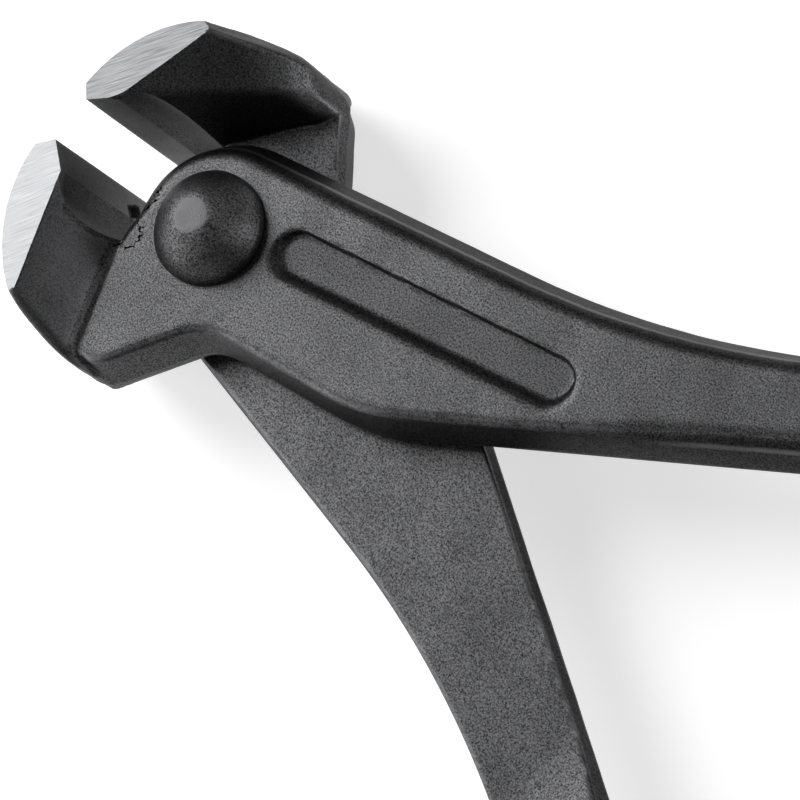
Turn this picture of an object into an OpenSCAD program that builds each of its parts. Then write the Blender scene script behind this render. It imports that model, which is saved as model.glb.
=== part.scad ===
// End cutting nippers: two identical forged levers, one turned over onto the other, crossing in a lap
// joint on a domed rivet. Each lever is drawn shut, with the rivet's axis on Z and its handle along +X,
// and is then swung open by half the opening. Millimetres, +Z along the rivet, lying on the jaws' sides.

/* [Jaws] */
// Width of the jaws along the rivet
jaw_width = 25; // [24:0.5:30]
// Distance from the rivet's axis to the cutting edges
edge_reach = 19.2; // [18.8:0.1:20]
// Gap left between the cutting edges when the handles are shut
edge_gap = 0.1; // [0.05:0.05:0.4]
// Length of the bevel inside each edge, along and across the tool
inner_bevel = 2.65; // [2:0.05:3]
// Drop of the bevel outside each edge, across the tool
outer_bevel = 1.6; // [1.2:0.1:2.2]
// Radius of the round back of each jaw
back_radius = 17.3; // [17:0.1:18]
// Distance of that radius's centre ahead of the rivet
back_ahead = 4; // [3.5:0.1:4.4]
// Distance of that radius's centre to the jaw's own side
back_side = 3; // [2.6:0.1:3.4]
// Distance of the throat's centre ahead of the rivet
throat_ahead = 11.6; // [11:0.1:12.2]
// Distance of the throat's centre to the jaw's own side
throat_side = 1.2; // [0.8:0.1:1.6]
// Radius of the hump where the jaw's back turns in to the arm
hump_radius = 5.2; // [4.2:0.5:5.7]
// Place on the jaw's back where the hump starts, as an angle
hump_at = 263; // [261:1:266]

/* [Flares] */
// Lean of the ground side face's inner line from straight across
side_lean = 11; // [8:1:14]
// Fall of the first slope beside the ground side face
first_fall = 36; // [32:1:40]
// Run of that first slope before the flare drops to the lap
first_run = 4; // [3.5:0.1:4.5]
// Fall of the flare onto the lap's own outer face
near_fall = 52; // [48:1:58]
// Fall of the flare onto the plane between the laps
far_fall = 80; // [80:1:84]
// Lean of the foot of that steep flare from straight across
far_lean = 34; // [30:1:36]
// Distance of that foot from the rivet's axis
far_foot = 12.2; // [12:0.1:12.6]
// Place on the jaw's back where the corner slope above the gentle flare starts, as an angle
corner_at = 227; // [222:1:232]
// Heading of that corner slope
corner_heading = 297; // [290:1:304]
// Fall of that corner slope
corner_fall = 46; // [42:1:50]
// Place on the jaw's back where the corner slope above the steep flare starts, as an angle
far_corner_at = 222; // [220:1:225]
// Heading of that corner slope
far_corner_heading = 247; // [244:1:250]
// Fall of that corner slope
far_corner_fall = 79; // [76:1:80]
// Place on the jaw's back where the steep flare's end slope starts, as an angle
far_end_at = 246; // [244:1:248]
// Heading of that end slope
far_end_heading = 345; // [340:1:350]
// Fall of that end slope
far_end_fall = 70; // [66:1:72]

/* [Lap joint] */
// Radius of each round lap
lap_radius = 11.1; // [10.8:0.1:11.4]
// Thickness of each lap
lap_thickness = 6.5; // [6:0.1:7.5]
// Gap between the two laps
lap_gap = 0.1; // [0.1:0.05:0.3]
// Gap between a jaw and the other lever's lap
seat_gap = 0.35; // [0.3:0.05:0.6]
// Opening between the levers as they lie
open_angle = 16; // [10:1:24]

/* [Rivet] */
// Diameter of the rivet's shank
shank_d = 8; // [6:0.5:9]
// Clearance of the shank in its bores, on the radius
shank_clearance = 0.04; // [0.02:0.01:0.08]
// Diameter of the domed heads
head_d = 12.8; // [11:0.2:14]
// Height of the straight rim below each dome
head_rim = 0.8; // [0.5:0.1:1.2]
// Height of each dome before its flat is taken
head_dome = 4.7; // [4:0.1:5]
// Diameter of the flat on each dome
head_flat_d = 4.2; // [3:0.1:5]

/* [Arms] */
// Rise of the arm's top edge from the lap
top_rise = 2.6; // [2:0.2:4]
// Distance behind the rivet where the top edge starts to bend out
top_bend_at = 34; // [31:1:37]
// Radius of that bend
top_bend_radius = 115; // [105:1:125]
// Depth of the arm's bottom edge below the rivet's axis
waist_depth = 10.65; // [10.2:0.05:11]
// Distance behind the rivet where the bottom edge leaves its hollow
waist_start = 8.9; // [8.4:0.1:10.4]
// Radius of the hollow between the hump and the arm
waist_radius = 7; // [6:0.5:7.5]
// Distance behind the rivet where the bottom edge starts to bend
belly_at = 22.3; // [20.3:0.2:26.3]
// Radius of that bend
belly_radius = 24; // [18:1:30]
// Angle of the handle where it leaves the arm
handle_angle = 22.4; // [20:0.2:24]
// Inset of the outer face from the parting line round the lap and along the arm's top edge
top_shoulder = 2.3; // [1.9:0.1:2.6]
// Inset of the outer face from the parting line along the arm's bottom edge
low_shoulder = 1.4; // [1:0.1:1.8]
// Inset of both faces from the parting line along the handle
handle_shoulder = 1.8; // [1.4:0.1:2.2]
// Inset of the machined lap face from the parting line
lap_edge = 0.6; // [0.4:0.05:0.8]

/* [Panel] */
// Distance behind the rivet of the panel's front end
panel_start = 8; // [7:0.5:10]
// Length of the recessed panel
panel_length = 39.2; // [30:0.2:42]
// Width of the recessed panel
panel_width = 5.5; // [4:0.1:6.5]
// Depth of the recessed panel
panel_depth = 0.8; // [0.4:0.1:1.2]
// Distance of the panel's front end above the rivet's axis
panel_up = 2.1; // [1.6:0.1:2.6]

/* [Handles] */
// Thickness of the handles
handle_thickness = 9; // [8:0.2:10.5]
// Distance behind the rivet where the handle starts to thicken
thicken_at = 57; // [57:1:60]
// Length over which it thickens
thicken_run = 24; // [20:1:30]
// Distance behind the rivet where the handle starts to move to the middle plane
centre_at = 81; // [80:1:86]
// Length over which it moves
centre_run = 34; // [28:1:40]
// Radius of the handle's bow
bow_radius = 110; // [100:1:120]
// Angle at which the handle's tail runs back in
tail_angle = 6; // [4:0.5:8]
// Length of the straight tail
tail_length = 72; // [50:1:90]
// Width of the handle at its tail's end
tail_width = 10.4; // [9:0.2:11.5]

/* [Grips] */
// Angle along the bow, from its start, at which the grip starts
grip_start = 11; // [8:1:16]
// Thickness of the dipped grip
grip_wall = 1.6; // [1:0.1:2.5]
// Length of the grip past the handle's end
grip_end = 5; // [3:0.5:8]

/* [Hidden] */
round_fn = 96;
// The cutting blocks are this much larger than what they cut
overrun = 2 * jaw_width;

// Plan points of the jaw
edge_point = [-edge_reach, -edge_gap / 2];
bevel_point = edge_point + [inner_bevel, -inner_bevel];
back_centre = [-back_ahead, -back_side];
crown_y = edge_point.y - outer_bevel;
crown_angle = 180 - asin((crown_y - back_centre.y) / back_radius);
throat_centre = [-throat_ahead, -throat_side];
throat_radius = norm(bevel_point - throat_centre);

// The hump and the hollow beside it touch one straight flank
function back_point(at) = back_centre + back_radius * [cos(at), sin(at)];
hump_first = back_point(hump_at);
hump_centre = back_centre + (back_radius - hump_radius) * [cos(hump_at), sin(hump_at)];
waist_centre = [waist_start, -waist_depth - waist_radius];
flank_line = waist_centre - hump_centre;
flank_angle = asin((hump_radius + waist_radius) / norm(flank_line)) + atan2(flank_line.y, flank_line.x);
hump_end = hump_centre + hump_radius * [sin(flank_angle), -cos(flank_angle)];
waist_end = waist_centre + waist_radius * [-sin(flank_angle), cos(flank_angle)];

// Bends of the arm's two edges, and where the handle takes over from them
top_bend_y = lap_radius / cos(top_rise) + top_bend_at * tan(top_rise);
top_centre = [top_bend_at - top_bend_radius * sin(top_rise), top_bend_y + top_bend_radius * cos(top_rise)];
top_last = top_centre + top_bend_radius * [sin(handle_angle), -cos(handle_angle)];
belly_centre = [belly_at, -waist_depth + belly_radius];
belly_last = belly_centre + belly_radius * [sin(handle_angle), -cos(handle_angle)];
handle_across = [-sin(handle_angle), cos(handle_angle)];
root_width = (top_last - belly_last) * handle_across;
bottom_last = top_last - root_width * handle_across;
bow_first = (top_last + bottom_last) / 2;
bow_centre = bow_first - bow_radius * handle_across;
bow_angle = handle_angle + tail_angle;
bow_length = bow_radius * bow_angle * PI / 180;
handle_length = bow_length + tail_length;
grip_from = bow_radius * grip_start * PI / 180;

// Height of the bottom edge at a distance behind the rivet
function bottom_y(x) =
    x < hump_first.x ? back_centre.y - sqrt(back_radius ^ 2 - (x - back_centre.x) ^ 2)
    : x < hump_end.x ? hump_centre.y - sqrt(hump_radius ^ 2 - (x - hump_centre.x) ^ 2)
    : x < waist_end.x ? hump_end.y + (x - hump_end.x) * tan(flank_angle)
    : x < waist_start ? waist_centre.y + sqrt(waist_radius ^ 2 - (x - waist_centre.x) ^ 2)
    : x < belly_at ? -waist_depth
    : x < belly_last.x ? belly_centre.y - sqrt(belly_radius ^ 2 - (x - belly_centre.x) ^ 2)
    : belly_last.y + (x - belly_last.x) * tan(handle_angle);

// Height of the top edge there, kept inside the round lap ahead of the rivet
function top_y(x) =
    x < 0 ? sqrt(lap_radius ^ 2 - x ^ 2) - 1.5 * top_shoulder * min(1, -4 * x / lap_radius)
    : x < top_bend_at ? lap_radius / cos(top_rise) + x * tan(top_rise)
    : top_centre.y - sqrt(top_bend_radius ^ 2 - (x - top_centre.x) ^ 2);

// Smooth change from 0 to 1 over a run
function ease(t) = let (c = min(1, max(0, t))) c * c * (3 - 2 * c);
function thickness(x) =
    lap_thickness - lap_gap / 2
    + (handle_thickness - lap_thickness + lap_gap / 2) * ease((x - thicken_at) / thicken_run);
function face_z(x) =
    lap_thickness + (handle_thickness / 2 - lap_thickness) * ease((x - centre_at) / centre_run);
function back_z(x) = face_z(x) - thickness(x);

// Centre and heading of the handle at a distance along it
function handle_heading(s) = handle_angle - min(s, bow_length) / bow_radius * 180 / PI;
function handle_centre(s) =
    let (a = handle_heading(s), bowed = bow_centre + bow_radius * [-sin(a), cos(a)])
    bowed + max(0, s - bow_length) * [cos(a), sin(a)];
function handle_width(s) = root_width + (tail_width - root_width) * min(1, s / handle_length);

// A station is the arm's bottom point and its top point, in plan
function arm_station(x, run_share) =
    let (bx = x + run_share * (bottom_last.x - belly_at - (top_last.x - belly_at)))
    [[bx, bottom_y(bx)], [x, top_y(x)]];
function handle_station(s) =
    let (a = handle_heading(s), half = handle_width(s) / 2 * [-sin(a), cos(a)])
    [handle_centre(s) - half, handle_centre(s) + half];

// The parting line lies half a handle's thickness below the outer face
function parting_z(x) = face_z(x) - handle_thickness / 2;

// Insets of the faces from the parting line: at the arm's bottom edge, at its top edge, and on the lap's side
function grown(x) = ease((x - thicken_at) / thicken_run);
function low_inset(x) = low_shoulder + (handle_shoulder - low_shoulder) * grown(x);
function high_inset(x) = top_shoulder + (handle_shoulder - top_shoulder) * grown(x);
function back_inset(x) = lap_edge + (handle_shoulder - lap_edge) * grown(x);

// Section of a lever through a station. Each pair is a share of an inset and a share of the height from
// the parting line to that face.
face_shares = [[0.25, 0.35], [0.55, 0.7], [1, 1]];
back_shares = [[0.15, 0.4], [0.45, 0.8], [1, 1]];
side_steps = len(face_shares);
function section(station, grow = 0) =
    let (
        low = station[0],
        high = station[1],
        across = (high - low) / norm(high - low),
        low_up = face_z(low.x) - parting_z(low.x) + grow,
        high_up = face_z(high.x) - parting_z(high.x) + grow,
        low_down = parting_z(low.x) - back_z(low.x) + grow,
        high_down = parting_z(high.x) - back_z(high.x) + grow
    )
    concat(
        [raised(low - grow * across, parting_z(low.x))],
        [for (s = face_shares)
            raised(low + (s[0] * low_inset(low.x) - grow) * across, parting_z(low.x) + s[1] * low_up)],
        [for (i = [side_steps - 1:-1:0]) let (s = face_shares[i])
            raised(high - (s[0] * high_inset(high.x) - grow) * across, parting_z(high.x) + s[1] * high_up)],
        [raised(high + grow * across, parting_z(high.x))],
        [for (s = back_shares)
            raised(high - (s[0] * back_inset(high.x) - grow) * across, parting_z(high.x) - s[1] * high_down)],
        [for (i = [side_steps - 1:-1:0]) let (s = back_shares[i])
            raised(low + (s[0] * back_inset(low.x) - grow) * across, parting_z(low.x) - s[1] * low_down)]
    );
function raised(p, z) = [p.x, p.y, z];

// Faces of a skin over rings of points, wound outwards
function skin_quads(first, rings, count) =
    [for (r = [0:rings - 2]) for (i = [0:count - 1]) let (
        a = first + r * count + i,
        b = first + r * count + (i + 1) % count
    ) each [[a, b, a + count], [b, b + count, a + count]]];
function cap_fan(first, count) = [for (i = [1:count - 2]) [first, first + i + 1, first + i]];
function flipped(faces) = [for (f = faces) [f[2], f[1], f[0]]];

module skin(rings) {
    count = len(rings[0]);
    points = [for (ring = rings) each ring];
    faces = concat(
        cap_fan(0, count),
        skin_quads(0, len(rings), count),
        flipped(cap_fan((len(rings) - 1) * count, count))
    );
    polyhedron(points, faces, convexity = 6);
}

// Stations along the lever, closest where its edges bend most
lap_steps = 14;
waist_steps = 24;
bend_steps = 24;
bow_steps = 14;
tail_steps = 6;
first_x = top_shoulder / 5 - lap_radius;
function steps(a, b, n) = [for (i = [0:n - 1]) a + (b - a) * i / n];
arm_stations = concat(
    [for (x = steps(first_x, 0, lap_steps)) arm_station(x, 0)],
    [for (x = steps(0, belly_at, waist_steps)) arm_station(x, 0)],
    [for (x = steps(belly_at, top_last.x, bend_steps))
        arm_station(x, (x - belly_at) / (top_last.x - belly_at))]
);
bow_stations = [for (s = steps(0, grip_from, bow_steps / 2)) handle_station(s)];
held_along = concat(
    steps(grip_from, bow_length, bow_steps),
    steps(bow_length, handle_length, tail_steps),
    [handle_length]
);
held_stations = [for (s = held_along) handle_station(s)];

lever_rings = [for (s = concat(arm_stations, bow_stations, held_stations)) section(s)];

// The grip's end is a half ellipse: shares of its length and of its width
end_shares = [[0.35, 0.94], [0.65, 0.78], [0.88, 0.5], [1, 0.2]];
function shrunk(ring, at, share) = [for (p = ring) at + share * (p - at)];
grip_rings = [for (s = held_stations) section(s, grip_wall)];
tail_tip = handle_centre(handle_length);
tail_ahead = [cos(tail_angle), -sin(tail_angle), 0];
tail_ring = grip_rings[len(grip_rings) - 1];
tail_middle = [tail_tip.x, tail_tip.y, (face_z(tail_tip.x) + back_z(tail_tip.x)) / 2];
end_rings = [for (s = end_shares)
    [for (p = shrunk(tail_ring, tail_middle, s[1])) p + s[0] * grip_end * tail_ahead]];
held_rings = [for (s = held_stations) section(s)];

// The part's own frame stands at the middle of its box, on the surface that it lies on
half_open = open_angle / 2;
function turned_x(p) = p.x * cos(half_open) - p.y * sin(half_open);
front_x = turned_x(back_centre) - back_radius;
rear_x = max([for (ring = concat(grip_rings, end_rings)) for (p = ring) turned_x(p)]);
rivet_x = -(front_x + rear_x) / 2;

// Everything above a slope that falls from a point along a heading
module above_slope(point, heading, fall) {
    translate(point)
        rotate([0, fall, heading])
        translate([-overrun, -overrun, 0])
        cube([2 * overrun, 2 * overrun, overrun]);
}

// What the flare on one side of a jaw takes away, for the side facing +Z
module flare_cut(near) {
    side_z = jaw_width / 2;
    above_slope(raised(bevel_point, side_z), side_lean, first_fall);
    if (near) {
        crease = bevel_point + first_run * [cos(side_lean), sin(side_lean)];
        above_slope(raised(crease, side_z - first_run * tan(first_fall)), side_lean, near_fall);
        above_slope(raised(back_point(corner_at), side_z), corner_heading, corner_fall);
    } else {
        above_slope(raised(-far_foot * [cos(far_lean), sin(far_lean)], 0), far_lean, far_fall);
        above_slope(raised(back_point(far_corner_at), side_z), far_corner_heading, far_corner_fall);
        above_slope(raised(back_point(far_end_at), side_z), far_end_heading, far_end_fall);
    }
}

// Plan of a jaw: cutting edge, its bevels and the round back
module jaw_plan() {
    back_steps = 40;
    polygon(concat(
        [edge_point],
        [for (i = [0:back_steps]) back_point(crown_angle + (hump_at - crown_angle) * i / back_steps)],
        [back_centre, bevel_point]
    ));
}

module jaw() {
    difference() {
        linear_extrude(jaw_width, center = true)
            jaw_plan();
        translate([throat_centre.x, throat_centre.y, -jaw_width])
            cylinder(r = throat_radius, h = 2 * jaw_width, $fn = round_fn);
        translate([0, 0, -jaw_width])
            cylinder(r = lap_radius + seat_gap, h = jaw_width + lap_gap / 2, $fn = round_fn);
        flare_cut(true);
        mirror([0, 0, 1])
            flare_cut(false);
    }
}

// The round lap, with the same shoulders as the arm
module lap() {
    up = face_z(0) - parting_z(0);
    down = parting_z(0) - back_z(0);
    rotate_extrude($fn = round_fn)
        polygon(concat(
            [[0, back_z(0)]],
            [for (i = [side_steps - 1:-1:0]) let (s = back_shares[i])
                [lap_radius - s[0] * lap_edge, parting_z(0) - s[1] * down]],
            [[lap_radius, parting_z(0)]],
            [for (s = face_shares) [lap_radius - s[0] * top_shoulder, parting_z(0) + s[1] * up]],
            [[0, face_z(0)]]
        ));
}

module panel_cut() {
    end_radius = panel_width / 2;
    translate([panel_start + end_radius, panel_up, lap_thickness - panel_depth])
        rotate([0, 0, top_rise])
        linear_extrude(overrun) {
            circle(r = end_radius, $fn = round_fn);
            translate([0, -end_radius])
                square([panel_length - panel_width, panel_width]);
            translate([panel_length - panel_width, 0])
                circle(r = end_radius, $fn = round_fn);
        }
}

module lever() {
    difference() {
        union() {
            jaw();
            lap();
            skin(lever_rings);
        }
        translate([0, 0, -overrun])
            cylinder(d = shank_d + 2 * shank_clearance, h = 2 * overrun, $fn = round_fn);
        panel_cut();
    }
}

// One rivet head, standing on the plane of a lap's face
module rivet_head() {
    dome_radius = ((head_d / 2) ^ 2 + head_dome ^ 2) / (2 * head_dome);
    dome_z = head_rim + head_dome - dome_radius;
    flat_z = dome_z + sqrt(dome_radius ^ 2 - (head_flat_d / 2) ^ 2);
    dome_steps = 16;
    first_angle = asin((head_rim - dome_z) / dome_radius);
    last_angle = asin((flat_z - dome_z) / dome_radius);
    rotate_extrude($fn = round_fn)
        polygon(concat(
            [[0, 0], [head_d / 2, 0]],
            [for (i = [0:dome_steps]) let (a = first_angle + (last_angle - first_angle) * i / dome_steps)
                [dome_radius * cos(a), dome_z + dome_radius * sin(a)]],
            [[0, flat_z]]
        ));
}

module grip() {
    difference() {
        skin(concat(grip_rings, end_rings));
        skin(held_rings);
    }
}

// Places what belongs to the front lever, or the same turned over for the rear lever
module as_front() {
    translate([rivet_x, 0, jaw_width / 2])
        rotate([0, 0, half_open])
        children();
}
module as_rear() {
    translate([rivet_x, 0, jaw_width / 2])
        rotate([180, 0, -half_open])
        children();
}

module front_lever() {
    color("#34353a")
        as_front()
        lever();
}

module rear_lever() {
    color("#2c2d31")
        as_rear()
        lever();
}

module rivet() {
    color("#45464b")
        translate([rivet_x, 0, jaw_width / 2]) {
            translate([0, 0, -lap_thickness])
                cylinder(d = shank_d, h = 2 * lap_thickness, $fn = round_fn);
            translate([0, 0, lap_thickness])
                rivet_head();
            mirror([0, 0, 1])
                translate([0, 0, lap_thickness])
                rivet_head();
        }
}

module front_grip() {
    color("#1b1c1f")
        as_front()
        grip();
}

module rear_grip() {
    color("#1b1c1f")
        as_rear()
        grip();
}

front_lever();
rear_lever();
rivet();
front_grip();
rear_grip();
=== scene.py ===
import bpy
import math
import numpy as np
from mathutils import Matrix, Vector


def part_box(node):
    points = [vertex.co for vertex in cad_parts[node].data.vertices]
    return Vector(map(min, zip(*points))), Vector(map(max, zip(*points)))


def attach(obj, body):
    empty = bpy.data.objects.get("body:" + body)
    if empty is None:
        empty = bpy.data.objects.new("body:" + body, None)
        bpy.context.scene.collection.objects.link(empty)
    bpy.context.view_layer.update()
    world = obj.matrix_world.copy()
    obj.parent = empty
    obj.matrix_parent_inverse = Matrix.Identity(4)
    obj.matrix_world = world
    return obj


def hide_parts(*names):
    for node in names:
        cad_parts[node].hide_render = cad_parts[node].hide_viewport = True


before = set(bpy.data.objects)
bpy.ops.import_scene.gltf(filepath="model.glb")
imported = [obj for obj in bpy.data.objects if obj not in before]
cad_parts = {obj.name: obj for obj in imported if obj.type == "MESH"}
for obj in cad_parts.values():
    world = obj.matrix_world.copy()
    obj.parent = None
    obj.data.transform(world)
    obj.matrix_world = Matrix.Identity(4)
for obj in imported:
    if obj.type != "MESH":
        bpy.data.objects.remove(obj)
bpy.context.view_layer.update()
print("frame loaded")

mm = 0.001
openAngle = 16  # degrees between the levers as they lie, shared by both
laps = {"jawWidth": 25.0, "outerFace": 6.5, "gap": 0.1}  # heights along the rivet, mm, from the plane between the laps

# The rivet's axis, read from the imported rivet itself
rivetLow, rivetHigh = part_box("rivet")
rivetPlace = Vector(((rivetLow.x + rivetHigh.x) / 2, (rivetLow.y + rivetHigh.y) / 2, laps["jawWidth"] / 2 * mm))


# Camera: a long lens from above, turned as the photograph was
camera = {"place": (0.166072, 0.013420, 0.430254), "turn": (17.2701, 23.3237, 41.9389), "lens": 202.5}
eye = bpy.data.objects.new("eye", bpy.data.cameras.new("eye"))
bpy.context.scene.collection.objects.link(eye)
eye.location = camera["place"]
eye.rotation_euler = [math.radians(a) for a in camera["turn"]]
eye.data.lens = camera["lens"]
eye.data.sensor_width = 36
eye.data.clip_start, eye.data.clip_end = 0.01, 20
bpy.context.scene.camera = eye


def linearColour(hexText):
    parts = [int(hexText[i:i + 2], 16) / 255 for i in (1, 3, 5)]
    return [c / 12.92 if c <= 0.04045 else ((c + 0.055) / 1.055) ** 2.4 for c in parts] + [1.0]


def addNode(material, kind, links=(), sockets=(), **settings):
    # places a node, sets its properties and sockets, and links what feeds it
    node = material.node_tree.nodes.new(kind)
    for name, value in settings.items():
        setattr(node, name, value)
    for key, value in dict(sockets).items():
        node.inputs[key].default_value = value
    for key, source in dict(links).items():
        material.node_tree.links.new(source, node.inputs[key])
    return node


def newMaterial(name):
    material = bpy.data.materials.new(name)
    material.use_nodes = True
    material.node_tree.nodes.clear()
    return material


# The lever is worked out in mm as it lies shut: the rivet's axis on Z, the handle along +X, the jaw towards -X and -Y,
# z = 0 the plane between the two laps. One shape serves both levers, the rear one turned over.
# Angles are in degrees. A draft is the run of a wall for 1 mm of its height.
lever = {
    "edgeReach": 19.2, "edgeGap": 0.1, "innerBevel": 2.65, "outerBevel": 1.6,
    "backRadius": 17.3, "backCentre": (-4.0, -3.0), "throatCentre": (-11.6, -1.2),
    "humpRadius": 5.2, "humpAt": 263, "waistRadius": 7.0, "waistStart": 8.9, "waistDepth": 10.65,
    "bellyAt": 22.3, "bellyRadius": 24.0, "handleAngle": 22.4,
    "lapRadius": 11.1, "seatGap": 0.35, "topRise": 2.6, "topBendAt": 34.0, "topBendRadius": 115.0,
    "handleThickness": 9.0, "thickenAt": 68.0, "thickenRun": 24.0, "centreAt": 81.0, "centreRun": 34.0,
    "bowRadius": 110.0, "tailAngle": 6.0, "tailLength": 72.0, "tailWidth": 10.4,
    "lowDraft": 0.268, "topDraft": 0.435, "backDraft": 0.3, "handleBackDraft": 0.4,
    "lowBevel": 0.345, "topBevel": 0.81, "bevelAt": 3.15,  # the steeper bevel over each wall, and its height
    "lapMiddle": -3.0, "armMiddle": 0.1, "middleRise": 0.0018, "middleBend": 1.95,  # the line between both walls
    "edgeRound": 0.9, "flareRound": 1.3, "filletRound": 0.4, "seamRound": 0.25, "backRound": 0.3,
    "sideLean": 11, "firstFall": 36, "firstRun": 4.0, "nearFall": 52,
    "farFall": 77, "farLean": 35.8, "farFoot": 12.29, "jawBackFrom": 276,
    "boreRadius": 4.04, "waviness": 0.02, "scale": 0.007,
}
panel = {"start": 8.0, "length": 39.2, "width": 5.5, "depth": 0.8, "up": 2.1, "turn": 2.6, "soft": 0.6,
         "steepSide": 0.3, "slackSide": 1.0}  # run of its two long walls for 1 mm of depth
corners = {  # slopes that take off the jaw's corners: a place, or an angle on its back, then heading and fall
    "nearAt": 235, "near": (297, 46), "nearRound": 0.8,
    "farEndAt": (-6.4, -17.4, 7.5), "farEnd": (314, 61), "toeAt": (-3.5, -18.2), "toe": (350, 27),
    "toeRound": 3.0, "farEndRound": 3.4,
}
tapers = {  # the jaw's round back draws in, away from the parting line: (mm in for 1 mm of height, from x, over)
    "backFrom": 4.2, "backLate": 8.3, "backTaper": 0.33,  # height where the far half starts, later towards the edge
    "under": (0.3, -7, 3), "over": (0.2, -6, 4), "shoulder": (0.25, -10, 4), "shoulderAt": 7.5,
    "front": (0.03, -12, 3), "frontIn": 0.1,
}
# The thin lip that the dies left where the lap meets the throat: its split, which wanders, and a tear below it in
# the bevel
flash = {
    "split": [(-8.4, 1.2), (-8.0, -0.3), (-8.85, -2.1), (-8.6, -3.2), (-7.6, -3.7), (-7.1, -4.6), (-7.4, -5.8),
              (-8.2, -6.3), (-8.9, -6.0), (-9.5, -6.8)],
    "width": 0.09, "depth": 0.25, "above": 4.5,
    "tearAt": (-1.2, -5.6, 0.34), "tear": (0.85, 1.6, 0.8), "tearRim": 0.3,
}
# from, to and step of the mesh along the lever, across it and through it
meshSteps = {
    "x": [(-21.9, -10.8, 0.3), (-10.8, -6.0, 0.16), (-6.0, 12.0, 0.32), (12.0, 50.0, 0.37), (50.0, 97.0, 0.6),
          (97.0, 203.0, 1.6)],
    "y": [(-21.6, -7.2, 0.3), (-7.2, 1.6, 0.16), (1.6, 37.0, 0.32)],
    "z": [(-13.15, -12.55, 0.3), (-12.55, 12.55, 0.3), (12.55, 13.15, 0.3)],
}


def deg(angle):
    return math.cos(math.radians(angle)), math.sin(math.radians(angle))


def smoothMax(a, b, width):
    blend = np.maximum(width - np.abs(a - b), 0) / width
    return np.maximum(a, b) + blend * blend * width * 0.25


def smoothMin(a, b, width):
    return -smoothMax(-a, -b, width)


def easeIn(t):
    t = np.clip(t, 0, 1)
    return t * t * (3 - 2 * t)


# Bends of the arm's two edges, and where the handle takes over from them
backX, backY = lever["backCentre"]
humpX = backX + (lever["backRadius"] - lever["humpRadius"]) * deg(lever["humpAt"])[0]
humpY = backY + (lever["backRadius"] - lever["humpRadius"]) * deg(lever["humpAt"])[1]
humpStart = backX + lever["backRadius"] * deg(lever["humpAt"])[0]
waistX, waistY = lever["waistStart"], -lever["waistDepth"] - lever["waistRadius"]
flank = math.asin((lever["humpRadius"] + lever["waistRadius"]) / math.hypot(waistX - humpX, waistY - humpY))
flank += math.atan2(waistY - humpY, waistX - humpX)
flankX, flankY = humpX + lever["humpRadius"] * math.sin(flank), humpY - lever["humpRadius"] * math.cos(flank)
waistFirst = waistX - lever["waistRadius"] * math.sin(flank)
riseCos, riseSin = deg(lever["topRise"])
handleCos, handleSin = deg(lever["handleAngle"])
topBendY = (lever["lapRadius"] + lever["topBendAt"] * riseSin) / riseCos
topCentre = (lever["topBendAt"] - lever["topBendRadius"] * riseSin, topBendY + lever["topBendRadius"] * riseCos)
topLast = (topCentre[0] + lever["topBendRadius"] * handleSin, topCentre[1] - lever["topBendRadius"] * handleCos)
bellyY = lever["bellyRadius"] - lever["waistDepth"]
bellyLast = (lever["bellyAt"] + lever["bellyRadius"] * handleSin, bellyY - lever["bellyRadius"] * handleCos)
rootWidth = (topLast[1] - bellyLast[1]) * handleCos - (topLast[0] - bellyLast[0]) * handleSin
bottomLast = (topLast[0] + rootWidth * handleSin, topLast[1] - rootWidth * handleCos)
bowFirst = ((topLast[0] + bottomLast[0]) / 2, (topLast[1] + bottomLast[1]) / 2)
bowCentre = (bowFirst[0] + lever["bowRadius"] * handleSin, bowFirst[1] - lever["bowRadius"] * handleCos)
bowLength = lever["bowRadius"] * math.radians(lever["handleAngle"] + lever["tailAngle"])
handleLength = bowLength + lever["tailLength"]


def bottomEdge(x):
    if x < humpStart:
        return backY - math.sqrt(lever["backRadius"] ** 2 - (x - backX) ** 2)
    if x < flankX:
        return humpY - math.sqrt(lever["humpRadius"] ** 2 - (x - humpX) ** 2)
    if x < waistFirst:
        return flankY + (x - flankX) * math.tan(flank)
    if x < waistX:
        return waistY + math.sqrt(lever["waistRadius"] ** 2 - (x - waistX) ** 2)
    if x < lever["bellyAt"]:
        return -lever["waistDepth"]
    if x < bellyLast[0]:
        return bellyY - math.sqrt(lever["bellyRadius"] ** 2 - (x - lever["bellyAt"]) ** 2)
    return bellyLast[1] + (x - bellyLast[0]) * handleSin / handleCos


def topEdge(x):
    if x < lever["topBendAt"]:
        return lever["lapRadius"] / riseCos + x * riseSin / riseCos
    return topCentre[1] - math.sqrt(lever["topBendRadius"] ** 2 - (x - topCentre[0]) ** 2)


def handlePoint(s, side):
    # s runs along the handle's middle line, side is -1 at its bottom edge and 1 at its top edge
    angle = math.radians(lever["handleAngle"]) - min(s, bowLength) / lever["bowRadius"]
    half = (rootWidth + (lever["tailWidth"] - rootWidth) * min(1, s / handleLength)) / 2
    past = max(0, s - bowLength)
    x = bowCentre[0] - (lever["bowRadius"] + side * half) * math.sin(angle) + past * math.cos(angle)
    y = bowCentre[1] + (lever["bowRadius"] + side * half) * math.cos(angle) + past * math.sin(angle)
    return x, y


# The lever's outline at its parting line, as one closed run of points
outline = [(lever["lapRadius"] * deg(a)[0], lever["lapRadius"] * deg(a)[1]) for a in np.arange(190, 90, -2.5)]
outline += [(x, topEdge(x)) for x in np.linspace(0, topLast[0], 70)]
outline += [handlePoint(s, 1) for s in np.linspace(1, handleLength, 60)]
outline += [handlePoint(s, -1) for s in np.linspace(handleLength, 1, 60)]
outline += [(x, bottomEdge(x)) for x in np.linspace(bottomLast[0], -12, 240)]
outline += [(-12, -12), (-10.7, -6.5)]
outline = np.array(outline)

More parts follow.
